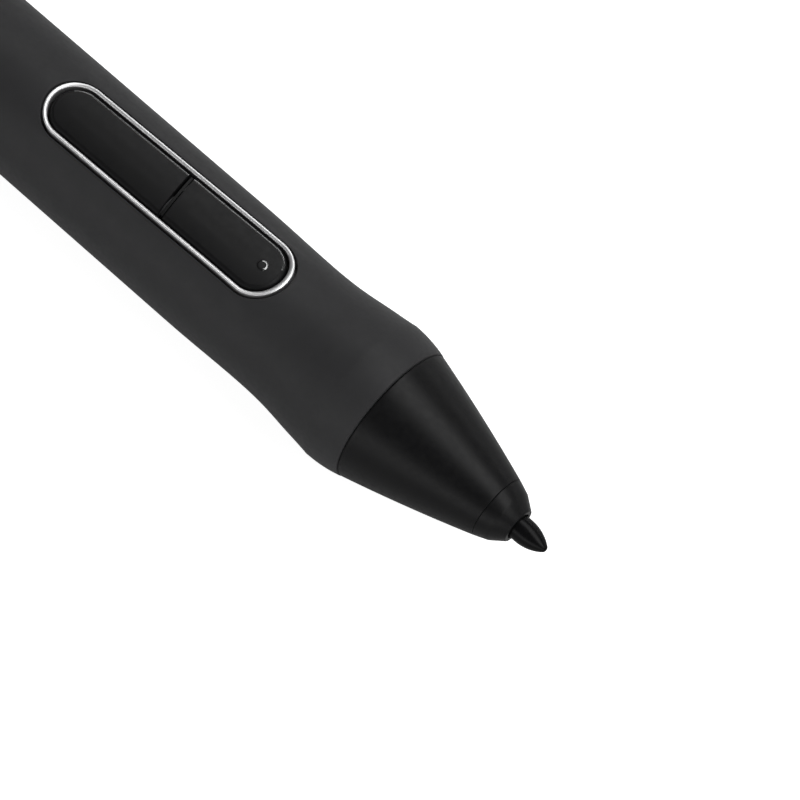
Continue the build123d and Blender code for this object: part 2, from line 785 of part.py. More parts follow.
# Pressure spring: a helix between the holder's flange and the disc
spring_start = flange_end + fit_gap + spring_wire_radius
spring_end = disc_start - fit_gap - spring_wire_radius
spring_pitch = (spring_end - spring_start) / spring_turns
with BuildPart() as pressure_spring:
    spring_origin = (pen_length / 2 - spring_start, 0, axis_height)
    with BuildLine() as coil:
        Helix(spring_pitch, spring_end - spring_start, spring_radius, spring_origin, (-1, 0, 0))
    with BuildSketch(Plane(origin=coil.line @ 0, z_dir=coil.line % 0)) as wire:
        Circle(spring_wire_radius)
    sweep(wire.sketch, path=coil.line, is_frenet=True)
pressure_spring.part.label = "pressure_spring"
export_step(pressure_spring.part, "parts/pressure_spring.step")

# Tail cushion: the soft block between the chassis and the bulkhead
with BuildPart() as tail_cushion:
    turn(cushion_start, cushion_start + cushion_thickness, cushion_radius)
tail_cushion.part.label = "tail_cushion"
export_step(tail_cushion.part, "parts/tail_cushion.step")

print("spring gap between turns", round(spring_pitch - 2 * spring_wire_radius, 3))
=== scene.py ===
"""The looks of a battery-free stylus for a pen display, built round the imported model.

Lengths in this file are millimetres, and place() turns them into metres. A station is a distance
back from the nib's point, across is a distance to the pen's left, and a height is measured up from
the pen's axis towards its keys.
"""

import json
import math

import bmesh
import bpy
import numpy as np
from mathutils import Matrix, Quaternion, Vector


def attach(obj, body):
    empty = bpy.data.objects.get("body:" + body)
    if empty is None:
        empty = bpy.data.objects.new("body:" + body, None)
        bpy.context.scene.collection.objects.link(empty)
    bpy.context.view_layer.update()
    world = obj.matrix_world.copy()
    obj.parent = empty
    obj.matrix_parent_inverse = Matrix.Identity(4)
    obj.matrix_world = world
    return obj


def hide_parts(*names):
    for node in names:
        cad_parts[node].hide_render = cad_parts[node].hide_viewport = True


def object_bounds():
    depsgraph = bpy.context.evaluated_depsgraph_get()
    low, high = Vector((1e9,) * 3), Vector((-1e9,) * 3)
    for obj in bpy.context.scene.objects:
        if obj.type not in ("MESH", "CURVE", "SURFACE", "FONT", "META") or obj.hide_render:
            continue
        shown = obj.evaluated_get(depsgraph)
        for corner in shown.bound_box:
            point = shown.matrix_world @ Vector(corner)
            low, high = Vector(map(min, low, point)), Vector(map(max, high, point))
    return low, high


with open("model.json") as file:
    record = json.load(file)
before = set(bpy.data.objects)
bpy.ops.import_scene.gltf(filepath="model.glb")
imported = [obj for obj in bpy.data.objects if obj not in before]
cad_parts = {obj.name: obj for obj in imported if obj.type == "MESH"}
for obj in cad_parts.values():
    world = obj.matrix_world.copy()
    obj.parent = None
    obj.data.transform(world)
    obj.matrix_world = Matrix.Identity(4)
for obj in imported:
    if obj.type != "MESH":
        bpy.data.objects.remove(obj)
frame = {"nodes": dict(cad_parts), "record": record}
cad_low, cad_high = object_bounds()

MM = 0.001
QUARTER = math.pi / 2
tip_x = cad_high.x / MM
axis_height = (cad_low.z + cad_high.z) / 2 / MM

# How finely the meshes are made
turn_segments = 192
edge_steps = 5
ogive_steps = 9
cone_steps = 24
crest_steps = 14
flare_steps = 30
barrel_steps = 26
oval_straight_steps = 26
bezel_steps = 14
key_side_steps = 16
key_round_steps = 7
pin_segments = 24
dot_steps = 6
dot_segments = 48
rear_steps = 20
taper_steps = 30
dome_steps = 14
winding_turn_steps = 48
wire_sides = 8
floor_steps = 12
floor_segments = 96
sharp_angle = math.radians(38)

# Radii of the pen's outer pieces
barrel_radius = 6.47
crest_radius = 7.08
waist_radius = 6.33
grip_front_radius = 6.64
rear_radius = 6.27
cone_end_radius = 6.58
collar_end_radius = 3.00
nib_radius = 1.14
tail_radius = 5.04

# Stations of the pen's outer pieces
collar_start = 3.10
cone_start = 5.56
cone_end = 17.50
grip_start = 17.60
crest_station = 20.90
waist_station = 29.80
swell_end = 38.00
grip_end = 84.00
rear_start = 84.10
taper_start = 112.10
rear_end = 155.50
tail_start = 155.60
tail_end = 162.40

# Rounds of edges
finest_round = 0.06
seam_round = 0.07
fine_round = 0.08
small_round = 0.10
soft_round = 0.12

# Nib: its point, its head and the stem behind it
nib_point_length = 2.50
nib_point_curve = 3.84
nib_point_round = 0.36
nib_head_end = 7.40
nib_step_end = 8.10
nib_stem_radius = 0.80
nib_stem_end = 28.60

# Tip collar
collar_bore = 1.27
collar_rim_radius = 1.63
collar_shoulder = 4.32
collar_shoulder_radius = 2.52
collar_shoulder_round = 1.10
collar_spigot_radius = 2.20
collar_spigot_end = 7.96

# Nose cone
cone_bulge = 0.11
cone_seat_radius = 2.24
cone_cavity_radius = 2.77
cone_cavity_end = 13.20
cone_spigot_radius = 5.09
cone_spigot_bore = 4.34
cone_spigot_end = 23.40

# The grip's flare: its slope at the crest, and points on it as shares of a run's length and height
flare_slope = -0.15
flare_shoulder = (0.30, 0.50)
flare_foot = (0.60, 0.05)
swell_shoulder = (0.55, 0.38)

# Inside of the grip sleeve, and the patch of rings round its key opening
grip_bore = 5.64
grip_head_bore = 6.09
grip_head_end = 24.23
patch_half = 22
patch_front = 28.30
patch_rear = 59.80
patch_shares = (0.30, 0.55, 0.75, 0.90)
patch_inner_shares = (1.0, 0.5)

# Key opening, an oval turned about its middle by a small angle, given as a slope across the pen
oval_front = 33.20
oval_rear = 54.39
oval_front_radius = 2.95
oval_rear_radius = 2.83
oval_middle = 44.0
oval_yaw = 0.019
oval_clearance = 0.23
opening_round = 0.05
lip_share = 0.3
oval_lean = math.asin((oval_front_radius - oval_rear_radius) / (oval_rear - oval_front))

# Bezel
bezel_width = 0.365
bezel_nose_width = 0.52
bezel_crown = 0.14
bezel_lean = 0.12
bezel_edge_drop = 0.02
bezel_skirt = 4.87
rim_crown_radius = 10.8

# Keys: their outline and top
key_inset = 0.48
key_nose_inset = 0.17
key_recess = 0.12
key_crown_radius = 14.0
key_plate_bottom = 5.00
key_top_insets = (0.40, 0.65, 0.95, 1.30, 1.70, 2.00)

# Keys' edges: a round flank, and a chamfer whose lighter, glossier finish is painted along the pen's left
# only, as a highlight line
key_round = 0.35
key_edge_slope = math.radians(19)
key_edge_width = 0.17
key_edge_border = key_edge_width / 9
key_end_steepness = 0.9
key_highlight_start = 1.1

# Split between the keys, slanted across the pen, with a groove and a low step on its rear side
front_key_end = 42.43
rear_key_start = 42.97
key_split_slant = 0.146
key_cut_round = 0.07
key_groove_width = 0.08
key_groove_depth = 0.30
key_groove_side = key_groove_width / 8
key_step_length = 0.37
key_step_drop = 0.10
key_step_half_width = 2.24

# Below the keys' plates: a lug with a cross pin, and a post over the switch
front_pin_station = 41.94
rear_pin_station = 43.46
front_switch_station = 36.94
rear_switch_station = 50.46
key_lug_length = 1.10
key_lug_half_width = 1.75
key_lug_bottom = 3.70
key_pin_height = 4.15
key_pin_radius = 0.35
key_pin_half_length = 2.30
key_post_length = 1.60
key_post_half_width = 0.70
key_post_bottom = 1.96
block_round = 0.06
block_round_steps = 2

# Dot on the front key, with a lighter, glossier finish painted on the side that faces the nib and the pen's
# left only, as a highlight
dot_station = 32.90
dot_across = 0.30
dot_radius = 0.50
dot_rise = 0.09
dot_flank = 0.17
dot_highlight_side = Vector((1, 1, 0))

# Rear barrel
socket_radius = 5.19
socket_end = 94.10
rear_bore = 4.65
bulkhead_start = 112.96
bulkhead_end = 114.16
rear_well_radius = 3.95

# Tail cap
tail_flat_radius = 2.30
tail_flat_round = 1.20
tail_spigot_start = 149.60
tail_spigot_radius = 3.91
tail_hollow_radius = 3.01
tail_hollow_end = 159.40

# Coil winding
winding_start = 12.28
winding_end = 22.20
bobbin_radius = 2.30
winding_radius = 3.03
winding_turns = 48
wire_radius = (winding_end - winding_start) / winding_turns / 2

# Soft pads
core_ring_start = 8.00
core_ring_end = 8.50
core_ring_radius = 2.20
core_ring_bore = 1.27
core_ring_round = 0.12
pressure_pad_start = 31.45
pressure_pad_end = 32.00
pressure_pad_radius = 1.35
pressure_pad_round = 0.15
cushion_start = 109.92
cushion_end = 112.92
cushion_radius = 3.40
cushion_round = 0.50
pad_face_share = 0.6

# The noise of the finishes: how fine its detail is, and the stretch of it that is used in full
noise_detail = 3.0
noise_low = 0.3
noise_high = 0.7

# Camera: above the pen, a little towards its nib and its right side, rolled to the photograph's slant
view_tilt = math.radians(15)
view_side = math.radians(20.4)
view_roll = math.radians(40.92)
view_distance = 294.4
lens_length = 157.5
sensor_width = 36
picture_side = 800
crest_pixel = (362.1, 390.5)

# Floor, a wide pale sheet that curves up at its rim into a low backdrop, and the light all round
floor_rings = (50, 100, 200, 400, 800, 1400, 2000)
floor_radius = 2400
floor_curve = 400
floor_rim = 1000
floor_colour = (0.48, 0.48, 0.48)
floor_blotch_size = 30.0
floor_variation = 0.01
floor_glow = 0.90
mirrored_share = 0.107
world_level = 0.13


def place(station, across, height):
    """A point of the pen in the frame's metres."""
    return Vector((tip_x - station, across, axis_height + height)) * MM


def turned_place(station, radius, angle):
    """The point at an angle round the pen's axis, from straight up towards the pen's left."""
    return place(station, radius * math.sin(angle), radius * math.cos(angle))


def spaced(start, end, steps):
    """Evenly spaced values from start to end, both included."""
    return [start + (end - start) * step / steps for step in range(steps + 1)]


def arc_fall(distance, reach, drop):
    """How far an arc has fallen at a distance from where it is level, if it falls by drop over reach."""
    curve = (reach**2 + drop**2) / (2 * drop)
    return curve - math.sqrt(curve**2 - distance**2)


def smooth_through(points, first_slope, last_slope):
    """A smooth curve through (place, value) points, as a function, with a set slope at each end."""
    places, values = np.array(points).T
    gaps = np.diff(places)
    rises = np.diff(values) / gaps
    system = np.eye(len(places))
    wanted = np.zeros(len(places))
    wanted[0], wanted[-1] = first_slope, last_slope
    for row in range(1, len(places) - 1):
        before, after = 1 / gaps[row - 1], 1 / gaps[row]
        system[row, row - 1:row + 2] = before, 2 * (before + after), after
        wanted[row] = 3 * (rises[row - 1] * before + rises[row] * after)
    slopes = np.linalg.solve(system, wanted)

    def value(at):
        span = int(np.clip(np.searchsorted(places, at) - 1, 0, len(gaps) - 1))
        share = (at - places[span]) / gaps[span]
        bend = 3 * share**2 - 2 * share**3
        lean_in = slopes[span] * (share - 2 * share**2 + share**3)
        lean_out = slopes[span + 1] * (share**3 - share**2)
        return values[span] * (1 - bend) + values[span + 1] * bend + gaps[span] * (lean_in + lean_out)

    return value


flare_length = waist_station - crest_station
swell_length = swell_end - waist_station
crest_rise = crest_radius - barrel_radius
waist_depth = barrel_radius - waist_radius
flare = smooth_through(
    [
        (crest_station, crest_radius),
        (crest_station + flare_shoulder[0] * flare_length, barrel_radius + flare_shoulder[1] * crest_rise),
        (crest_station + flare_foot[0] * flare_length, barrel_radius - flare_foot[1] * waist_depth),
        (waist_station, waist_radius),
        (waist_station + swell_shoulder[0] * swell_length, barrel_radius - swell_shoulder[1] * waist_depth),
        (swell_end, barrel_radius),
    ],
    first_slope=flare_slope,
    last_slope=0,
)


def grip_radius(station):
    """The grip's radius: an arc up to the crest, a flare down to the waist, and a long swell."""
    if station < crest_station:
        drop = crest_radius - grip_front_radius
        return crest_radius - arc_fall(crest_station - station, crest_station - grip_start, drop)
    return float(flare(station)) if station < swell_end else barrel_radius


def grip_height(station, across):
    """The height of the grip's round form."""
    return math.sqrt(grip_radius(station) ** 2 - across**2)


def rim_height(station, across):
    """The height of the bezel's foot, which is flatter across than the grip."""
    return grip_radius(station) - across**2 / (2 * rim_crown_radius)


def lip_height(station, across):
    """The height of the sleeve's lip round the opening, drawn a share of the way to the bezel's foot."""
    return grip_height(station, across) * (1 - lip_share) + rim_height(station, across) * lip_share


def key_height(station, across):
    """The height of the keys' tops, which are flatter across than the grip."""
    return grip_radius(station) - key_recess - across**2 / (2 * key_crown_radius)


def rounded(corners):
    """An outline through (station, radius, round) corners, with an arc where a corner has a round."""
    points = []
    for index, (station, radius, curve) in enumerate(corners):
        corner = Vector((station, radius))
        if not curve:
            points.append(corner)
            continue
        before = (Vector(corners[index - 1][:2]) - corner).normalized()
        after = (Vector(corners[(index + 1) % len(corners)][:2]) - corner).normalized()
        half = before.angle(after) / 2
        middle = corner + (before + after).normalized() * curve / math.sin(half)
        first = corner + before * curve / math.tan(half) - middle
        last = corner + after * curve / math.tan(half) - middle
        sweep = math.pi - 2 * half
        for share in spaced(0, 1, edge_steps):
            point = first * math.sin((1 - share) * sweep) + last * math.sin(share * sweep)
            points.append(middle + point / math.sin(sweep))
    return points


def ring(mesh, points):
    """One vertex for each point, in order."""
    return [mesh.verts.new(point) for point in points]


def bridge(mesh, first, second, polished=False):
    """Faces between two closed rings of vertices, either of which may be a single point."""
    count = max(len(first), len(second))
    for here in range(count):
        there = (here + 1) % count
        if len(first) == 1:
            corners = (first[0], second[there], second[here])
        elif len(second) == 1:
            corners = (first[here], first[there], second[0])
        else:
            corners = (first[here], first[there], second[there], second[here])
        mesh.faces.new(corners).material_index = int(polished)


def skin(mesh, rings, polished=(), capped=False):
    """Bands of faces from each ring to the next, some of them given the second finish, a painted highlight,
    and a face on each end.
    """
    for band, (first, second) in enumerate(zip(rings, rings[1:])):
        bridge(mesh, first, second, polished=band in polished)
    if capped:
        mesh.faces.new(rings[0])
        mesh.faces.new(rings[-1])


def highlight_only(mesh, shines):
    """Takes the second finish, the painted highlight, off the faces whose middles don't pass a test."""
    for face in mesh.faces:
        if not shines(face.calc_center_median()):
            face.material_index = 0


def around(steps):
    """Angles all the way round, without the last, which is the first again."""
    return spaced(0, 2 * math.pi, steps)[:-1]


def turned(mesh, outline, closed=False):
    """Turns an outline of (station, radius) points about the pen's axis."""
    rings = []
    for station, radius in outline:
        if radius:
            rings.append(ring(mesh, [turned_place(station, radius, angle)
                                     for angle in around(turn_segments)]))
        else:
            rings.append(ring(mesh, [place(station, 0, 0)]))
    skin(mesh, rings + rings[:1] if closed else rings)


def turned_mesh(outline, closed=False):
    """A new mesh, turned from an outline."""
    mesh = bmesh.new()
    turned(mesh, outline, closed)
    return mesh


def piece(name, mesh, body, slot, *nodes, painted_highlight=None):
    """Makes a mesh into a piece of the pen, smooth but for its sharp edges, in place of CAD nodes, with a
    second finish for a painted highlight if one is given.
    """
    bmesh.ops.recalc_face_normals(mesh, faces=mesh.faces)
    for face in mesh.faces:
        face.smooth = True
    for edge in mesh.edges:
        edge.smooth = edge.calc_face_angle(0) < sharp_angle
    data = bpy.data.meshes.new(name)
    mesh.to_mesh(data)
    mesh.free()
    data.materials.append(finishes[slot])
    if painted_highlight:
        data.materials.append(painted_highlight)
    made = bpy.data.objects.new(name, data)
    bpy.context.scene.collection.objects.link(made)
    normals = made.modifiers.new("normals", "WEIGHTED_NORMAL")
    normals.keep_sharp = True
    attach(made, body)
    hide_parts(*nodes)
    return made


def arc_points(centre, radius, turns, steps):
    """Points on an arc of the oval, through a list of angles from the nib's side, with steps between."""
    angles = [turns[0]]
    for start, end, count in zip(turns, turns[1:], steps):
        angles += spaced(start, end, count)[1:]
    return [(centre - radius * math.cos(angle), radius * math.sin(angle)) for angle in angles]


def run_between(start, end, steps):
    """The points of a straight run, without its ends."""
    return list(zip(spaced(start[0], end[0], steps), spaced(start[1], end[1], steps)))[1:-1]


def yawed(points):
    """Points of the key opening turned by the small angle at which it stands to the pen's axis."""
    return [(station, across + oval_yaw * (oval_middle - station)) for station, across in points]


def oval_loop(offset):
    """The key opening's outline, widened by an offset, as (station, across) points all the way round.

    It starts at the right, runs round the nib's side to the left, and comes back round the tail's side.
    """
    steps = (patch_half, 2 * patch_half, patch_half)
    front_turns = (-QUARTER - oval_lean, -QUARTER / 2, QUARTER / 2, QUARTER + oval_lean)
    rear_turns = (QUARTER + oval_lean, 1.5 * QUARTER, 2.5 * QUARTER, 3 * QUARTER - oval_lean)
    front = arc_points(oval_front, oval_front_radius + offset, front_turns, steps)
    rear = arc_points(oval_rear, oval_rear_radius + offset, rear_turns, steps)
    left = run_between(front[-1], rear[0], oval_straight_steps)
    right = run_between(rear[-1], front[0], oval_straight_steps)
    return yawed(front + left + rear + right)


def grip_outline(row_stations):
    """The grip's closed outline, and the numbers of the rows where the patch starts outside and inside.

    The stations start two steps in, past the front edge's round. Between the last row outside and the
    first one inside lie the rear edge's round and the bore's end.
    """
    front = spaced(grip_start, crest_station, crest_steps)[2:-1]
    front += spaced(crest_station, patch_front, flare_steps)[:-1]
    back = spaced(patch_rear, grip_end, barrel_steps)[1:-1]
    outside = [(station, grip_radius(station), 0) for station in front + row_stations + back]
    inside = [(station, grip_bore, 0) for station in reversed(row_stations)]
    corners = outside + [
        (grip_end, barrel_radius, soft_round),
        (grip_end, grip_bore, 0),
        *inside,
        (grip_head_end, grip_bore, 0),
        (grip_head_end, grip_head_bore, 0),
        (grip_start, grip_head_bore, 0),
        (grip_start, grip_front_radius, soft_round),
    ]
    first_inside = len(outside) + edge_steps + 2
    return rounded(corners), len(front), first_inside


def grip_mesh():
    """The soft sleeve: its turned grid, the patch round the key opening, and the opening's wall."""
    mesh = bmesh.new()
    lip = oval_loop(oval_clearance + opening_round)
    side = lip[3 * patch_half:5 * patch_half + oval_straight_steps + 1]
    reach = (patch_rear - patch_front) / (side[-1][0] - side[0][0])
    row_stations = [patch_front + (station - side[0][0]) * reach for station, _ in side]
    rows = len(row_stations) - 1
    outline, first_outside, first_inside = grip_outline(row_stations)
    turn_step = 2 * math.pi / turn_segments

    vertices = {}
    for row, (station, radius) in enumerate(outline):
        deep = (first_outside < row < first_outside + rows) or (first_inside < row < first_inside + rows)
        for column in range(-turn_segments // 2, turn_segments // 2):
            if not (deep and abs(column) < patch_half):
                vertices[row, column] = mesh.verts.new(turned_place(station, radius, column * turn_step))
    for row, column in list(vertices):
        next_row = (row + 1) % len(outline)
        next_column = column + 1 if column + 1 < turn_segments // 2 else -turn_segments // 2
        corners = [(row, column), (row, next_column), (next_row, next_column), (next_row, column)]
        if all(corner in vertices for corner in corners):
            mesh.faces.new([vertices[corner] for corner in corners])

    # The patch's border, in the oval's own order: the nib's end, the left, the tail's end, the right
    border = [(0, column) for column in range(-patch_half, patch_half)]
    border += [(row, patch_half) for row in range(rows)]
    border += [(rows, column) for column in range(patch_half, -patch_half, -1)]
    border += [(row, -patch_half) for row in range(rows, 0, -1)]
    border = border[-patch_half:] + border[:-patch_half]

    def patch_ring(share, offset, radius_at, raised=False):
        """A ring of points a share of the way from the border to the opening, on a round form.

        A raised one climbs to the lip as it nears the opening.
        """
        points = []
        for (row, column), (station, across) in zip(border, oval_loop(offset)):
            here = row_stations[row] * (1 - share) + station * share
            angle = column * turn_step * (1 - share) + math.asin(across / radius_at(station)) * share
            lift = (lip_height(station, across) - grip_height(station, across)) * share**2 * raised
            points.append(turned_place(here, radius_at(here) + lift, angle))
        return points

    rings = [[vertices[first_outside + row, column] for row, column in border]]
    for share in patch_shares:
        points = patch_ring(share, oval_clearance + opening_round, grip_radius, raised=True)
        rings.append(ring(mesh, points))
    for angle in spaced(0, QUARTER, edge_steps):
        offset = oval_clearance + opening_round * (1 - math.sin(angle))
        drop = opening_round * (1 - math.cos(angle))
        rings.append(ring(mesh, [place(station, across, lip_height(station, across) - drop)
                                 for station, across in oval_loop(offset)]))
    for share in patch_inner_shares:
        rings.append(ring(mesh, patch_ring(share, oval_clearance, lambda station: grip_bore)))
    rings.append([vertices[first_inside + rows - row, column] for row, column in border])
    skin(mesh, rings)
    return mesh


def bezel_mesh():
    """The bright ring round the keys: a bead that leans inwards, wider at the nib's end, on a skirt."""
    mesh = bmesh.new()
    outer = oval_loop(0)
    one_further_in = oval_loop(-1)

    def inset_loop(share):
        """The ring's outline, taken in by a share of the ring's own width."""
        points = []
        for (station, across), (inner_station, inner_across) in zip(outer, one_further_in):
            nose_share = max(0.0, inner_station - station) ** 2
            inset = share * (bezel_width + (bezel_nose_width - bezel_width) * nose_share)
            points.append((station + (inner_station - station) * inset,
                           across + (inner_across - across) * inset))
        return points

    rings = []
    for turn in spaced(0, math.pi, bezel_steps):
        share = (1 - math.cos(turn)) / 2
        rise = bezel_crown * math.sin(turn) - bezel_edge_drop - bezel_lean * share
        rings.append(ring(mesh, [place(station, across, rim_height(*edge) + rise)
                                 for (station, across), edge in zip(inset_loop(share), outer)]))
    for share in (1, 0):
        rings.append(ring(mesh, [place(station, across, bezel_skirt)
                                 for station, across in inset_loop(share)]))
    skin(mesh, rings + rings[:1])
    return mesh


def key_edge_steps():
    """The (inset, drop) steps up a key's side: a round flank, a narrow chamfer, and the top's border."""
    chamfer_drop = key_edge_width * math.tan(key_edge_slope)
    turn_end = QUARTER - key_edge_slope
    steps = []
    for turn in spaced(0, turn_end, key_round_steps):
        steps.append((key_round * (1 - math.cos(turn)),
                      chamfer_drop + key_round * (math.sin(turn_end) - math.sin(turn))))
    top = steps[-1][0] + key_edge_width
    return steps + [(top, 0), (top + key_edge_border, 0)]


def outer_end_share(station, front):
    """How far round a key's outer end a point lies: 0 along the sides and 1 at the very end."""
    if front:
        return max(0.0, (oval_front - station) / oval_front_radius)
    return max(0.0, (station - oval_rear) / oval_rear_radius)


def key_loop(inset, cut, front):
    """A key's outline from above, taken in by an inset: one end of the oval, closed by the slanted cut.

    The edge's steps take the cut in by key_cut_round alone, so that the split stays narrow.
    """
    offset = -key_inset - inset
    border = key_edge_steps()[-1][0]
    cut_inset = min(inset, border) * key_cut_round / border + max(0, inset - border)
    steps = (patch_half, patch_half, patch_half)
    if front:
        turns = (-QUARTER - oval_lean, -QUARTER / 3, QUARTER / 3, QUARTER + oval_lean)
        arc = arc_points(oval_front + key_nose_inset, oval_front_radius + offset, turns, steps)
        far, far_radius = oval_rear, oval_rear_radius + offset
        cut_station = cut - cut_inset
    else:
        turns = (-QUARTER + oval_lean, -QUARTER / 3, QUARTER / 3, QUARTER - oval_lean)
        arc = [(2 * oval_rear - station, -across)
               for station, across in arc_points(oval_rear, oval_rear_radius + offset, turns, steps)]
        far, far_radius = oval_front, oval_front_radius + offset
        cut_station = cut + cut_inset

    # The cut's half width lies on the straight side that runs from this end of the oval to the far one
    near_station, near_across = arc[-1]
    far_station = far + far_radius * math.sin(oval_lean)
    far_across = far_radius * math.cos(oval_lean)
    share = (cut_station - near_station) / (far_station - near_station)
    half_width = abs(near_across) + (far_across - abs(near_across)) * share
    half_width = math.copysign(half_width, near_across)
    first = (cut_station + key_split_slant * half_width, half_width)
    last = (cut_station - key_split_slant * half_width, -half_width)
    return yawed(arc + run_between(arc[-1], first, key_side_steps) + [first]
                 + run_between(first, last, key_side_steps) + [last]
                 + run_between(last, arc[0], key_side_steps))


def add_block(mesh, station, length, half_width, low):
    """A block with softened edges below a key's plate, let into it by its own edge round."""
    corners = [place(station + along * length / 2, side * half_width, height)
               for height in (low, key_plate_bottom + block_round)
               for along, side in ((-1, -1), (-1, 1), (1, 1), (1, -1))]
    bottom, top = ring(mesh, corners[:4]), ring(mesh, corners[4:])
    skin(mesh, [bottom, top], capped=True)
    edges = list(dict.fromkeys(edge for vertex in bottom + top for edge in vertex.link_edges))
    bmesh.ops.bevel(mesh, geom=edges, offset=block_round * MM, segments=block_round_steps, affect="EDGES")


def add_cross_pin(mesh, station):
    """The round pin across the pen that a key turns on, with softened ends."""
    tip_radius = key_pin_radius - block_round
    ends = [(-key_pin_half_length, tip_radius), (-key_pin_half_length + block_round, key_pin_radius),
            (key_pin_half_length - block_round, key_pin_radius), (key_pin_half_length, tip_radius)]
    rings = [ring(mesh, [place(station + radius * math.cos(angle), across,
                               key_pin_height + radius * math.sin(angle))
                         for angle in around(pin_segments)])
             for across, radius in ends]
    skin(mesh, rings, capped=True)


def add_key_step(mesh):
    """The low step along the split, behind a narrow groove in the front key's plate."""
    groove_end = front_key_end + key_groove_width
    rear = front_key_end + key_step_length
    profile = [(front_key_end - key_cut_round, key_groove_depth), (groove_end, key_groove_depth),
               (groove_end + key_groove_side, key_step_drop), (rear - block_round, key_step_drop),
               (rear, key_step_drop + block_round)]
    rings = []
    for station, drop in profile:
        half_width = key_step_half_width - drop / 2
        top = [place(station + key_split_slant * across, across, key_height(station, across) - drop)
               for across in spaced(-half_width, half_width, key_side_steps)]
        bottom = [place(station + key_split_slant * across, across, key_plate_bottom)
                  for across in (half_width, -half_width)]
        rings.append(ring(mesh, top + bottom))
    skin(mesh, rings, capped=True)


def key_mesh(cut, front, pin_station, switch_station):
    """A key: its plate with softened edges, and the lug, the pin and the post below it."""
    mesh = bmesh.new()
    rings = [ring(mesh, [place(station, across, key_plate_bottom)
                         for station, across in key_loop(0, cut, front)])]
    for inset, drop in key_edge_steps() + [(inset, 0) for inset in key_top_insets]:
        rings.append(ring(mesh, [place(station, across, key_height(station, across)
                                       - drop * (1 + key_end_steepness * outer_end_share(station, front)))
                                 for station, across in key_loop(inset, cut, front)]))
    # The chamfer band gets the lighter, glossier finish, and only along the pen's left: a painted highlight
    # line.
    chamfer_band = key_round_steps + 1
    skin(mesh, rings, polished=[chamfer_band], capped=True)
    highlight_only(mesh, lambda middle: middle.y >= key_highlight_start * MM)
    add_block(mesh, pin_station, key_lug_length, key_lug_half_width, key_lug_bottom)
    add_block(mesh, switch_station, key_post_length, key_post_half_width, key_post_bottom)
    add_cross_pin(mesh, pin_station)
    if front:
        add_key_step(mesh)
    return mesh


def dot_mesh():
    """The raised dot on the front key: a low disc with a round flank, lighter and glossier on one side only
    as a painted highlight.
    """
    mesh = bmesh.new()
    profile = [(dot_radius, -dot_rise)]
    profile += [(dot_radius - dot_flank * (1 - math.cos(turn)), dot_rise * math.sin(turn))
                for turn in spaced(0, QUARTER, dot_steps)]
    profile.append(((dot_radius - dot_flank) / 2, dot_rise))
    rings = []
    for radius, rise in profile:
        points = [(dot_station + radius * math.cos(angle), dot_across + radius * math.sin(angle))
                  for angle in around(dot_segments)]
        rings.append(ring(mesh, [place(station, across, key_height(station, across) + rise)
                                 for station, across in points]))
    # The flank gets the lighter, glossier finish only on the side towards the nib and the pen's left: a
    # painted highlight crescent.
    skin(mesh, rings, polished=range(1, dot_steps + 1), capped=True)
    dot_middle = place(dot_station, dot_across, 0)
    highlight_only(mesh, lambda middle: (middle - dot_middle).dot(dot_highlight_side) >= 0)
    return mesh


def nib_outline():
    """The nib: a small round point, an ogive, the head, and the thinner stem behind it."""
    ogive = []
    for station in spaced(0, nib_point_length, ogive_steps)[1:]:
        drop = nib_point_curve - math.sqrt(nib_point_curve**2 - (nib_point_length - station) ** 2)
        ogive.append((station, nib_radius - drop, 0))
    flat = nib_radius - nib_point_curve + math.sqrt(nib_point_curve**2 - nib_point_length**2)
    return rounded([
        (0, 0, 0),
        (0, flat, nib_point_round),
        *ogive,
        (nib_head_end, nib_radius, fine_round),
        (nib_step_end, nib_stem_radius, fine_round),
        (nib_stem_end, nib_stem_radius, fine_round),
        (nib_stem_end, 0, 0),
    ])


def collar_outline():
    """The collar round the nib: a lip, a soft shoulder, and a spigot into the cone."""
    return rounded([
        (collar_start, collar_bore, finest_round),
        (collar_start, collar_rim_radius, soft_round),
        (collar_shoulder, collar_shoulder_radius, collar_shoulder_round),
        (cone_start, collar_end_radius, seam_round),
        (cone_start, collar_spigot_radius, 0),
        (collar_spigot_end, collar_spigot_radius, fine_round),
        (collar_spigot_end, collar_bore, finest_round),
    ])


def cone_outline():
    """The nose cone: a slightly bulged shell, with a seat for the collar and a spigot for the barrel."""
    chord = math.hypot(cone_end - cone_start, cone_end_radius - collar_end_radius)
    tilt = math.atan2(cone_end_radius - collar_end_radius, cone_end - cone_start)
    side = []
    for share in spaced(0, 1, cone_steps)[1:-1]:
        swell = 4 * cone_bulge * share * (1 - share)
        side.append((cone_start + chord * share * math.cos(tilt) - swell * math.sin(tilt),
                     collar_end_radius + chord * share * math.sin(tilt) + swell * math.cos(tilt), 0))
    return rounded([
        (cone_start, collar_end_radius, seam_round),
        *side,
        (cone_end, cone_end_radius, small_round),
        (cone_end, cone_spigot_radius, 0),
        (cone_spigot_end, cone_spigot_radius, soft_round),
        (cone_spigot_end, cone_spigot_bore, small_round),
        (cone_cavity_end, cone_spigot_bore, 0),
        (collar_spigot_end, cone_cavity_radius, 0),
        (collar_spigot_end, cone_seat_radius, 0),
        (cone_start, cone_seat_radius, 0),
    ])


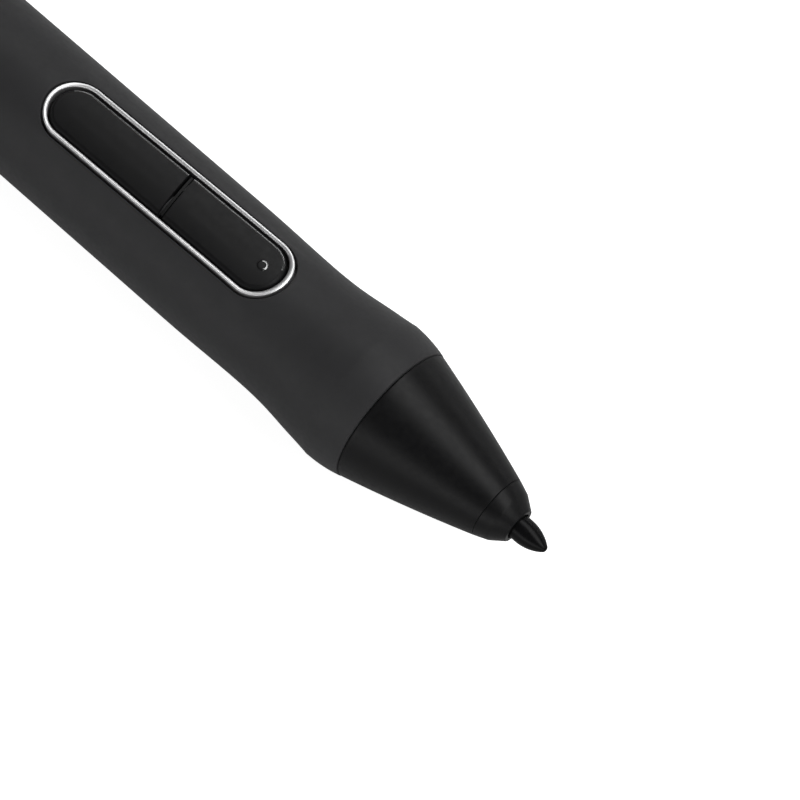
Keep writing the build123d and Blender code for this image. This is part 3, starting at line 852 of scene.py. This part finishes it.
def rear_barrel_outline():
    """The rear barrel: straight, then an arc that draws in towards the tail, hollow on both sides."""
    reach, drop = rear_end - taper_start, rear_radius - tail_radius
    straight = [(station, rear_radius, 0) for station in spaced(rear_start, taper_start, rear_steps)[1:-1]]
    taper = [(station, rear_radius - arc_fall(station - taper_start, reach, drop), 0)
             for station in spaced(taper_start, rear_end, taper_steps)[:-1]]
    return rounded([
        (bulkhead_start, 0, 0),
        (bulkhead_start, rear_bore, 0),
        (socket_end, rear_bore, 0),
        (socket_end, socket_radius, 0),
        (rear_start, socket_radius, fine_round),
        (rear_start, rear_radius, soft_round),
        *straight,
        *taper,
        (rear_end, tail_radius, soft_round),
        (rear_end, rear_well_radius, fine_round),
        (bulkhead_end, rear_well_radius, 0),
        (bulkhead_end, 0, 0),
    ])


def tail_cap_outline():
    """The tail cap: a domed end with a small soft flat, on a hollow spigot."""
    reach, drop = tail_end - tail_start, tail_radius - tail_flat_radius
    dome = [(station, tail_radius - arc_fall(station - tail_start, reach, drop), 0)
            for station in spaced(tail_start, tail_end - tail_flat_round, dome_steps)[1:]]
    return rounded([
        (tail_hollow_end, 0, 0),
        (tail_hollow_end, tail_hollow_radius, 0),
        (tail_spigot_start, tail_hollow_radius, finest_round),
        (tail_spigot_start, tail_spigot_radius, small_round),
        (tail_start, tail_spigot_radius, 0),
        (tail_start, tail_radius, soft_round),
        *dome,
        (tail_end, tail_flat_radius, tail_flat_round),
        (tail_end, 0, 0),
    ])


def pad_ring_outline(start, end, radius, bore, curve):
    """A soft ring with round edges."""
    return rounded([(start, bore, curve), (start, radius, curve), (end, radius, curve), (end, bore, curve)])


def pad_disc_outline(start, end, radius, curve):
    """A soft disc with a round edge."""
    face_radius = radius * pad_face_share
    return rounded([(start, 0, 0), (start, face_radius, 0), (start, radius, curve),
                    (end, radius, curve), (end, face_radius, 0), (end, 0, 0)])


def winding_mesh():
    """The coil: one long helix of enamelled wire, laid on a plain sleeve of the layers below."""
    mesh = bmesh.new()
    wire_centre = winding_radius - wire_radius
    turned(mesh, rounded([(winding_start, bobbin_radius, 0), (winding_start, wire_centre, 0),
                          (winding_end, wire_centre, 0), (winding_end, bobbin_radius, 0)]), closed=True)
    helix_turns = winding_turns - 1
    run = winding_end - winding_start - 2 * wire_radius
    rings = []
    for share in spaced(0, 1, helix_turns * winding_turn_steps):
        angle = share * helix_turns * 2 * math.pi
        station = winding_start + wire_radius + run * share
        rings.append(ring(mesh, [turned_place(station + wire_radius * math.cos(side),
                                              wire_centre + wire_radius * math.sin(side), angle)
                                 for side in around(wire_sides)]))
    skin(mesh, rings, capped=True)
    return mesh


def new_node(tree, kind, inputs, **settings):
    """Adds a shader node, with its settings and its inputs' values or links."""
    made = tree.nodes.new(kind)
    for name, value in settings.items():
        setattr(made, name, value)
    for name, value in inputs.items():
        if isinstance(value, bpy.types.NodeSocket):
            tree.links.new(value, made.inputs[name])
        else:
            made.inputs[name].default_value = value
    return made


def grain(tree, size):
    """Noise whose lumps are about this size."""
    where = new_node(tree, "ShaderNodeTexCoord", {})
    mapped = new_node(tree, "ShaderNodeMapping",
                      {"Vector": where.outputs["Object"], "Scale": [1 / (size * MM)] * 3})
    noise = new_node(tree, "ShaderNodeTexNoise",
                     {"Vector": mapped.outputs["Vector"], "Scale": 1.0, "Detail": noise_detail})
    return noise.outputs["Fac"]


def between(tree, factor, low, high):
    """A value that runs from low to high as a noise runs through its middle stretch."""
    spread = new_node(tree, "ShaderNodeMapRange", {"Value": factor, "From Min": noise_low,
                                                   "From Max": noise_high, "To Min": low, "To Max": high})
    return spread.outputs["Result"]


def blotched(tree, factor, colour, variation):
    """A colour that turns a little lighter and darker with a noise.

    Of the mix node's sockets, inputs 6 and 7 and output 2 are the ones for colours.
    """
    mixed = new_node(tree, "ShaderNodeMix", {"Factor": factor}, data_type="RGBA")
    for socket, share in ((mixed.inputs[6], 1 - variation), (mixed.inputs[7], 1 + variation)):
        socket.default_value = [min(1.0, part * share) for part in colour] + [1.0]
    return mixed.outputs[2]


def material_of(name, colour, roughness, grain_size, grain_depth, fixed=None, variation=0.15,
                spread=0.05, blotch_size=2.0):
    """A procedural finish: blotched colour, uneven roughness and a fine grain, with fixed shader values."""
    made = bpy.data.materials.new(name)
    made.use_nodes = True
    tree = made.node_tree
    surface = tree.nodes["Principled BSDF"]
    colours = blotched(tree, grain(tree, blotch_size), colour, variation)
    tree.links.new(colours, surface.inputs["Base Color"])
    rough = between(tree, grain(tree, blotch_size / 4), roughness - spread, roughness + spread)
    tree.links.new(rough, surface.inputs["Roughness"])
    relief = new_node(tree, "ShaderNodeBump", {"Height": grain(tree, grain_size),
                                               "Distance": grain_depth * MM, "Strength": 1.0})
    tree.links.new(relief.outputs["Normal"], surface.inputs["Normal"])
    for socket, value in (fixed or {}).items():
        surface.inputs[socket].default_value = value
    return made


# Finishes, one for each material slot of the record: colour, roughness, and the grain's size and depth
finishes = {
    "nib": material_of("nib_gloss", (0.003, 0.003, 0.0033), 0.28, 0.10, 0.0006,
                       {"Specular IOR Level": 0.09}),
    "nose_plastic": material_of("nose_satin", (0.0035, 0.0035, 0.0038), 0.39, 0.06, 0.0012,
                                {"Specular IOR Level": 0.14}),
    "soft_grip": material_of("grip_silicone", (0.0205, 0.0205, 0.0215), 0.55, 0.05, 0.0025,
                             {"Specular IOR Level": 0.18, "Sheen Weight": 0.07, "Sheen Roughness": 0.5}),
    "bezel": material_of("bezel_metal", (0.70, 0.70, 0.705), 0.48, 0.30, 0.0002,
                         {"Metallic": 1.0}, spread=0.02),
    "key_plastic": material_of("key_satin", (0.0055, 0.0055, 0.0058), 0.44, 0.05, 0.0010,
                               {"Specular IOR Level": 0.13}),
    "barrel_plastic": material_of("barrel_satin", (0.018, 0.018, 0.019), 0.48, 0.06, 0.0015,
                                  {"Specular IOR Level": 0.24}),
    "inner_plastic": material_of("inner_moulding", (0.020, 0.020, 0.021), 0.50, 0.08, 0.0020),
    "board": material_of("solder_mask", (0.012, 0.12, 0.05), 0.35, 0.30, 0.0060, variation=0.3),
    "component": material_of("moulded_epoxy", (0.02, 0.02, 0.02), 0.55, 0.05, 0.0020),
    "capacitor": material_of("fired_ceramic", (0.42, 0.29, 0.17), 0.45, 0.08, 0.0020),
    "trimmer": material_of("trimmer_ceramic", (0.66, 0.64, 0.58), 0.45, 0.08, 0.0020),
    "ferrite": material_of("sintered_ferrite", (0.045, 0.045, 0.048), 0.60, 0.05, 0.0040,
                           variation=0.35, blotch_size=0.3),
    "copper": material_of("enamelled_copper", (0.66, 0.27, 0.10), 0.28, 0.10, 0.0004,
                          {"Metallic": 1.0, "Coat Weight": 0.6, "Coat Roughness": 0.15}),
    "spring_steel": material_of("spring_wire", (0.60, 0.60, 0.61), 0.28, 0.05, 0.0006,
                                {"Metallic": 1.0}),
    "sensor_ceramic": material_of("sensor_ceramic_white", (0.72, 0.71, 0.66), 0.40, 0.06, 0.0015),
    "soft_pad": material_of("pad_rubber", (0.16, 0.16, 0.17), 0.75, 0.06, 0.0050),
}
# A painted highlight: a lighter, glossier copy of the keys' plastic, put only on the side of the keys'
# edges and dot where a highlight should show.
key_painted_highlight = material_of("key_painted_highlight_edge", (0.007, 0.007, 0.0073), 0.20, 0.05, 0.0002,
                         {"Specular IOR Level": 1.0, "IOR": 1.9}, spread=0.02)
for part in frame["record"]["subparts"]:
    data = frame["nodes"][part["node"]].data
    data.materials.clear()
    data.materials.append(finishes[part["material_slot"]])


# The pen's pieces: each one's name, mesh, body, material slot, and the node that it stands for
piece("nib_rod", turned_mesh(nib_outline()), "nib", "nib", "nib")
piece("collar_shell", turned_mesh(collar_outline(), closed=True), "nose", "nose_plastic", "tip_collar")
piece("cone_shell", turned_mesh(cone_outline(), closed=True), "nose", "nose_plastic", "nose_cone")
piece("grip_skin", grip_mesh(), "root", "soft_grip", "grip_sleeve")
piece("bezel_ring", bezel_mesh(), "root", "bezel", "key_bezel")
piece("front_key_cap", key_mesh(front_key_end, True, front_pin_station, front_switch_station),
      "front_key", "key_plastic", "front_key", painted_highlight=key_painted_highlight)
piece("front_key_dot", dot_mesh(), "front_key", "key_plastic", "front_key", painted_highlight=key_painted_highlight)
piece("rear_key_cap", key_mesh(rear_key_start, False, rear_pin_station, rear_switch_station),
      "rear_key", "key_plastic", "rear_key", painted_highlight=key_painted_highlight)
piece("rear_barrel_shell", turned_mesh(rear_barrel_outline()), "root", "barrel_plastic", "rear_barrel")
piece("tail_cap_dome", turned_mesh(tail_cap_outline()), "root", "barrel_plastic", "tail_cap")
piece("coil_wire", winding_mesh(), "root", "copper", "coil_winding")
core_ring_outline = pad_ring_outline(core_ring_start, core_ring_end, core_ring_radius, core_ring_bore,
                                     core_ring_round)
piece("core_ring_pad", turned_mesh(core_ring_outline, closed=True), "root", "soft_pad", "core_ring")
pressure_outline = pad_disc_outline(pressure_pad_start, pressure_pad_end, pressure_pad_radius,
                                    pressure_pad_round)
pressure_disc = piece("pressure_disc", turned_mesh(pressure_outline), "nib_holder", "soft_pad",
                      "pressure_pad")
cushion_outline = pad_disc_outline(cushion_start, cushion_end, cushion_radius, cushion_round)
cushion = piece("tail_cushion_pad", turned_mesh(cushion_outline), "root", "soft_pad", "tail_cushion")


# Camera
pixels_per_mm = lens_length / sensor_width * picture_side / view_distance
back = Vector((math.sin(view_tilt), -math.cos(view_tilt) * math.sin(view_side),
               math.cos(view_tilt) * math.cos(view_side)))
left_side = Vector((0, math.cos(view_side), math.sin(view_side)))
along = left_side.cross(back)
right = math.cos(view_roll) * along + math.sin(view_roll) * left_side
up = back.cross(right)
shift_right = (picture_side / 2 - crest_pixel[0]) / pixels_per_mm
shift_up = (crest_pixel[1] - picture_side / 2) / pixels_per_mm
eye = place(crest_station, 0, 0) + (right * shift_right + up * shift_up + back * view_distance) * MM

camera_data = bpy.data.cameras.new("camera")
camera_data.lens = lens_length
camera_data.sensor_width = sensor_width
camera_data.clip_start = 0.01
camera_data.clip_end = 20.0
camera = bpy.data.objects.new("camera", camera_data)
bpy.context.scene.collection.objects.link(camera)
camera.matrix_world = Matrix.LocRotScale(eye, Matrix((right, up, back)).transposed(), None)
bpy.context.scene.camera = camera


def soft_box(name, direction, distance, width, height, radiance, turn=0.0):
    """A soft rectangular lamp that faces the pen, as bright as a white wall of this radiance."""
    data = bpy.data.lights.new(name, "AREA")
    data.shape = "RECTANGLE"
    data.size, data.size_y = width * MM, height * MM
    data.energy = radiance * math.pi * width * height * MM**2
    lamp = bpy.data.objects.new(name, data)
    bpy.context.scene.collection.objects.link(lamp)
    aim = Vector(direction).normalized()
    lamp.location = aim * distance * MM
    lamp.rotation_mode = "QUATERNION"
    lamp.rotation_quaternion = aim.to_track_quat("Z", "Y") @ Quaternion((0, 0, 1), turn)
    lamp.visible_camera = False


soft_box("key_light", direction=(0.33, 0.385, 0.885), distance=580, width=1300, height=280, radiance=4.0,
         turn=math.radians(19))
soft_box("fill_light", direction=(0.12, -0.94, 0.26), distance=600, width=2000, height=260, radiance=2.1)
soft_box("rim_light", direction=(0.12, 0.96, 0.22), distance=650, width=1600, height=60, radiance=3.4)


def floor_mesh():
    """The floor, turned about an upright axis: flat, then a quarter arc up to the backdrop."""
    mesh = bmesh.new()
    outline = [(0, 0)]
    outline += [(radius, 0) for radius in floor_rings]
    for turn in spaced(0, QUARTER, floor_steps):
        outline.append((floor_radius + floor_curve * math.sin(turn), floor_curve * (1 - math.cos(turn))))
    outline.append((floor_radius + floor_curve, floor_rim))
    rings = []
    for radius, height in outline:
        angles = around(floor_segments) if radius else [0]
        rings.append(ring(mesh, [Vector((radius * math.cos(angle), radius * math.sin(angle), height)) * MM
                                 for angle in angles]))
    skin(mesh, rings)
    bmesh.ops.recalc_face_normals(mesh, faces=mesh.faces)
    for face in mesh.faces:
        face.smooth = True
    return mesh


def floor_material():
    """Matt white, with a little of its own light where the camera or a reflection sees it."""
    made = bpy.data.materials.new("floor_white")
    made.use_nodes = True
    tree = made.node_tree
    surface = tree.nodes["Principled BSDF"]
    surface.inputs["Specular IOR Level"].default_value = 0.0
    surface.inputs["Roughness"].default_value = 1.0
    colours = blotched(tree, grain(tree, floor_blotch_size), floor_colour, floor_variation)
    tree.links.new(colours, surface.inputs["Base Color"])
    path = new_node(tree, "ShaderNodeLightPath", {})
    mirrored = new_node(tree, "ShaderNodeMath",
                        {0: path.outputs["Is Glossy Ray"], 1: path.outputs["Is Transmission Ray"]},
                        operation="MAXIMUM")
    softened = new_node(tree, "ShaderNodeMath", {0: mirrored.outputs[0], 1: mirrored_share},
                        operation="MULTIPLY")
    seen = new_node(tree, "ShaderNodeMath", {0: path.outputs["Is Camera Ray"], 1: softened.outputs[0]},
                    operation="MAXIMUM")
    glow = new_node(tree, "ShaderNodeMath", {0: seen.outputs[0], 1: floor_glow}, operation="MULTIPLY")
    tree.links.new(glow.outputs[0], surface.inputs["Emission Strength"])
    surface.inputs["Emission Color"].default_value = (1, 1, 1, 1)
    return made


# Floor and surroundings
floor_shape = floor_mesh()
floor_data = bpy.data.meshes.new("floor")
floor_shape.to_mesh(floor_data)
floor_shape.free()
floor_data.materials.append(floor_material())
floor = bpy.data.objects.new("floor", floor_data)
bpy.context.scene.collection.objects.link(floor)

world = bpy.data.worlds.new("studio")
bpy.context.scene.world = world
world.use_nodes = True
world.node_tree.nodes["Background"].inputs["Color"].default_value = (1, 1, 1, 1)
world.node_tree.nodes["Background"].inputs["Strength"].default_value = world_level
bpy.context.scene.view_settings.view_transform = "Standard"
